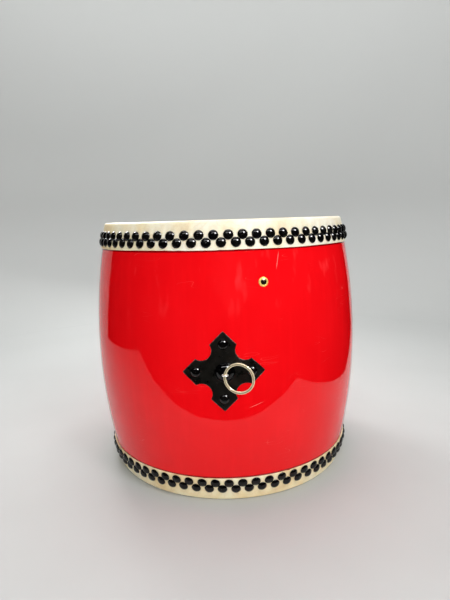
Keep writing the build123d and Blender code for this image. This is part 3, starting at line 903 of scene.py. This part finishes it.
def make_side_screw(metal):
    """The raised countersunk screw, with a tapered cross recess cut into its head."""
    edge = SCREW_HEAD_RISE - 0.7 * MM
    shank = 2 * MM
    length = 20 * MM
    dome = arc_through(0.7 * MM, SCREW_HEAD_RADIUS, 0.97, 0, 8)
    corners = [
        (0, -length, 0),
        (shank, 4 * MM - length, 0.3 * MM),
        (shank, 0.25 * MM, 0),
        (SCREW_HEAD_RADIUS, edge, 0.12 * MM),
        *[(r, z + edge, 0) for r, z in dome],
    ]
    vertices, faces = turned(rounded(corners), 56)
    place = on_surface(SCREW_AZIMUTH, SCREW_HEIGHT, GAP) @ Matrix.Rotation(radians(38), 4, "Z")
    piece = new_piece("side_screw_head", moved(vertices, place), faces, metal)
    cutter_parts = []
    for quarter in range(2):
        wide, deep, top = 2.4 * MM, 1.7 * MM, SCREW_HEAD_RISE + 0.3 * MM
        bottom = top - 0.3 * MM - deep
        spots = [(wide, 0.52 * MM, top), (0.7 * MM, 0.3 * MM, bottom)]
        signs = ((-1, -1), (1, -1), (1, 1), (-1, 1))
        corners = [(x * sx, y * sy, z) for x, y, z in spots for sx, sy in signs]
        quads = [[0, 1, 2, 3], [7, 6, 5, 4], [0, 4, 5, 1], [1, 5, 6, 2], [2, 6, 7, 3], [3, 7, 4, 0]]
        spin = Matrix.Rotation(quarter * pi / 2, 4, "Z")
        cutter_parts.append((moved(corners, place @ spin), quads))
    for n, (points, quads) in enumerate(cutter_parts):
        cutter = new_piece(f"recess_{n}", points, quads, metal)
        cut = piece.modifiers.new("recess", "BOOLEAN")
        cut.object, cut.operation, cut.solver = cutter, "DIFFERENCE", "MANIFOLD"
        bpy.context.view_layer.objects.active = piece
        bpy.ops.object.modifier_apply(modifier=cut.name)
        bpy.data.objects.remove(cutter)
    piece.data.shade_smooth()
    piece.data.set_sharp_from_angle(angle=radians(30))
    return fit(piece, "drum", "brass", "side_screw")


def dress_hidden(node, metal):
    """Gives a CAD piece that stays as it is its material."""
    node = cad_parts[node]
    node.data.materials.clear()
    node.data.materials.append(metal)


# ---------------------------------------------------------------- building it


def build_drum():
    """Every piece of the drum."""
    red, wood, hide = lacquer(), bare_wood(), rawhide()
    enamel, satin = black_enamel(), satin_black()
    nickel = plated("bright_nickel", (1.0, 0.98, 0.94), (0.88, 0.85, 0.78), 0.08, 0.18, 0.5)
    champagne = plated("champagne_nickel", (1.0, 0.88, 0.62), (0.97, 0.78, 0.48), 0.08, 0.18, 0.4)
    zinc = plated("zinc", (0.60, 0.61, 0.63), (0.42, 0.42, 0.42), 0.3, 0.5)
    brass = plated("cup_brass", (1.0, 0.78, 0.22), (0.94, 0.60, 0.12), 0.2, 0.34, 0.3)
    # The screw's brass colour is darkened as a painted dark reflection of the room its polished head mirrors.
    dark_screw_brass = plated("screw_brass_painted_dark", (0.42, 0.36, 0.24), (0.26, 0.20, 0.12), 0.12, 0.26)

    make_shell(red, wood)
    make_head("top_head", ("top_studs_upper", "top_studs_lower"), hide, 11)
    make_head("bottom_head", ("bottom_studs_upper", "bottom_studs_lower"), hide, 23)
    rows = ("top_studs_upper", "top_studs_lower", "bottom_studs_upper", "bottom_studs_lower")
    for seed, row in enumerate(rows, start=31):
        make_stud_row(row, enamel, seed)
    for seed, (side, turn) in enumerate((("front", Matrix.Identity(4)), ("rear", HALF_TURN)), start=51):
        make_plate(side, turn, satin)
        make_plate_nails(side, turn, enamel, seed)
        make_boss(side, turn, enamel)
        make_eye_bolt(side, turn, nickel)
        make_ring(side, turn, champagne)
        dress_hidden(side + "_inner_washer", zinc)
        dress_hidden(side + "_nut", zinc)
    make_cup_washer(brass)
    make_side_screw(dark_screw_brass)


# ---------------------------------------------------------------- floor, light and camera


def stage_finish(name, colour):
    """A plain matt surface with a barely visible cloudiness, and a painted falloff of light that makes it a
    little darker away from the middle.
    """
    f = Finish(name)
    cloud = f.noise(0.25, detail=3)
    darker = tuple(c * 0.95 for c in colour)
    painted_falloff = tuple(c * 0.80 for c in colour)
    distance = f.node("VectorMath", "Value", {0: f.place}, operation="LENGTH")
    tone = f.mix(colour, darker, f.scale(cloud, 0.35, 0.7, 0, 1))
    # Painted falloff of light: darker away from the middle.
    f.set("Base Color", f.mix(tone, painted_falloff, f.scale(distance, 0.35, 1.0, 0, 1)))
    f.shader.inputs["Roughness"].default_value = 0.9
    f.shader.inputs["Specular IOR Level"].default_value = 0.1
    return f.material


def cove(start, end, name, finish, back=0.0):
    """A curve up from the floor into a wall, between two headings measured from behind the drum."""
    profile = [(COVE_FROM, 0)]
    for a in np.linspace(0, pi / 2, 14)[1:]:
        profile.append((COVE_FROM + COVE_ROUND * sin(a), COVE_ROUND * (1 - cos(a))))
    profile.append((COVE_FROM + COVE_ROUND, WALL_HEIGHT))
    headings = np.linspace(start, end, 97)
    vertices = [((r + back) * sin(h), (r + back) * cos(h), z) for h in headings for r, z in profile]
    step = len(profile)
    faces = [
        [i * step + j, i * step + j + 1, (i + 1) * step + j + 1, (i + 1) * step + j]
        for i in range(len(headings) - 1)
        for j in range(step - 1)
    ]
    return new_piece(name, vertices, faces, finish, sharp=60)


def build_stage():
    """A pale floor and cove all round.

    The lacquer only mirrors the part the drum stands on and what is behind it: in front of that the room
    is dark, so the reflection ends in a clean edge.
    """
    pale = stage_finish("pale_stage", (0.53, 0.54, 0.53))
    around = np.linspace(0, tau, FLOOR_SIDES + 1)[:-1]
    disc = [(COVE_FROM * sin(a), COVE_FROM * cos(a), FLOOR_LEVEL) for a in around]
    floor = new_piece("floor", disc, [list(range(FLOOR_SIDES))[::-1]], pale)
    surround = cove(-pi, pi, "surround", pale, back=1 * MM)
    left, right = radians(-67), radians(44)
    rear = [(COVE_FROM * sin(a), COVE_FROM * cos(a)) for a in np.linspace(right, left, 40)]
    outline = [(-1.1, -0.42), (0.54, -0.42), (0.54, 0.2), *rear, (-1.1, 0.4)]
    mat = new_piece("mat", [(x, y, MAT_LEVEL) for x, y in outline], [list(range(len(outline)))], pale)
    backdrop = cove(left, right, "backdrop", pale)
    floor.visible_glossy = surround.visible_glossy = False


def soft_light(name, place, target, size, power, mirrored=False, shades=True):
    """A rectangular softbox aimed at a point.

    Glossy surfaces show it only if it is mirrored, and it lights matt ones only if it shades.
    """
    data = bpy.data.lights.new(name, "AREA")
    data.shape = "RECTANGLE"
    data.size, data.size_y = size
    data.energy = power
    light = bpy.data.objects.new(name, data)
    bpy.context.scene.collection.objects.link(light)
    light.location = place
    aim = Vector(target) - Vector(place)
    light.rotation_euler = aim.to_track_quat("-Z", "Y").to_euler()
    light.visible_camera = False
    light.visible_glossy = mirrored
    light.visible_diffuse = shades
    return light


def build_light():
    """Soft lights that shade, bright ones seen only in reflections, a sky that does both, and a dim room."""
    world = bpy.data.worlds.new("room")
    bpy.context.scene.world = world
    world.use_nodes = True
    background = world.node_tree.nodes["Background"]
    background.inputs["Color"].default_value = (0.95, 0.98, 1.0, 1)
    background.inputs["Strength"].default_value = 0.45
    world.cycles_visibility.glossy = False
    middle = (0, 0, MIDDLE)
    soft_light("key", (0.62, -0.92, 1.35), middle, (0.35, 0.28), 6.6)
    soft_light("fill", (0.22, -1.33, 0.65), middle, (0.9, 0.6), 9)
    soft_light("sky", (0, 0.35, 2.2), middle, (2.0, 1.6), 21, mirrored=True)
    soft_light("wash", (0, 0.8, 1.9), (0, 1.7, 0.4), (1.6, 0.5), 11)
    soft_light("rear_key", (-0.62, 0.92, 1.35), middle, (0.35, 0.28), 6)
    soft_light("rear_fill", (-0.35, 1.3, 0.65), middle, (0.9, 0.6), 5)
    for name, side in (("front", 1), ("rear", -1)):
        corner, above = (0.80 * side, -0.92 * side, 1.45), (0, -0.95 * side, 1.5)
        soft_light(name + "_glint", corner, middle, (0.62, 0.5), 44, mirrored=True, shades=False)
        soft_light(name + "_bar", above, middle, (2.0, 0.12), 10, mirrored=True, shades=False)


def build_camera():
    """The camera stands level with the top head, nearly straight in front of the handle."""
    data = bpy.data.cameras.new("camera")
    data.sensor_width = 36
    data.lens = 28.38
    camera = bpy.data.objects.new("camera", data)
    bpy.context.scene.collection.objects.link(camera)
    distance, height = 0.83896, 0.4086
    azimuth = radians(1.2)
    pitch, roll = radians(9.704), radians(1.774)
    place = Matrix.Translation((distance * sin(azimuth), -distance * cos(azimuth), height))
    look = Matrix.Rotation(azimuth, 4, "Z") @ Matrix.Rotation(pi / 2 - pitch, 4, "X")
    camera.matrix_world = place @ look @ Matrix.Rotation(-roll, 4, "Z")
    bpy.context.scene.camera = camera


build_camera()
build_stage()
build_light()
build_drum()
bpy.context.scene.view_settings.view_transform = "Standard"
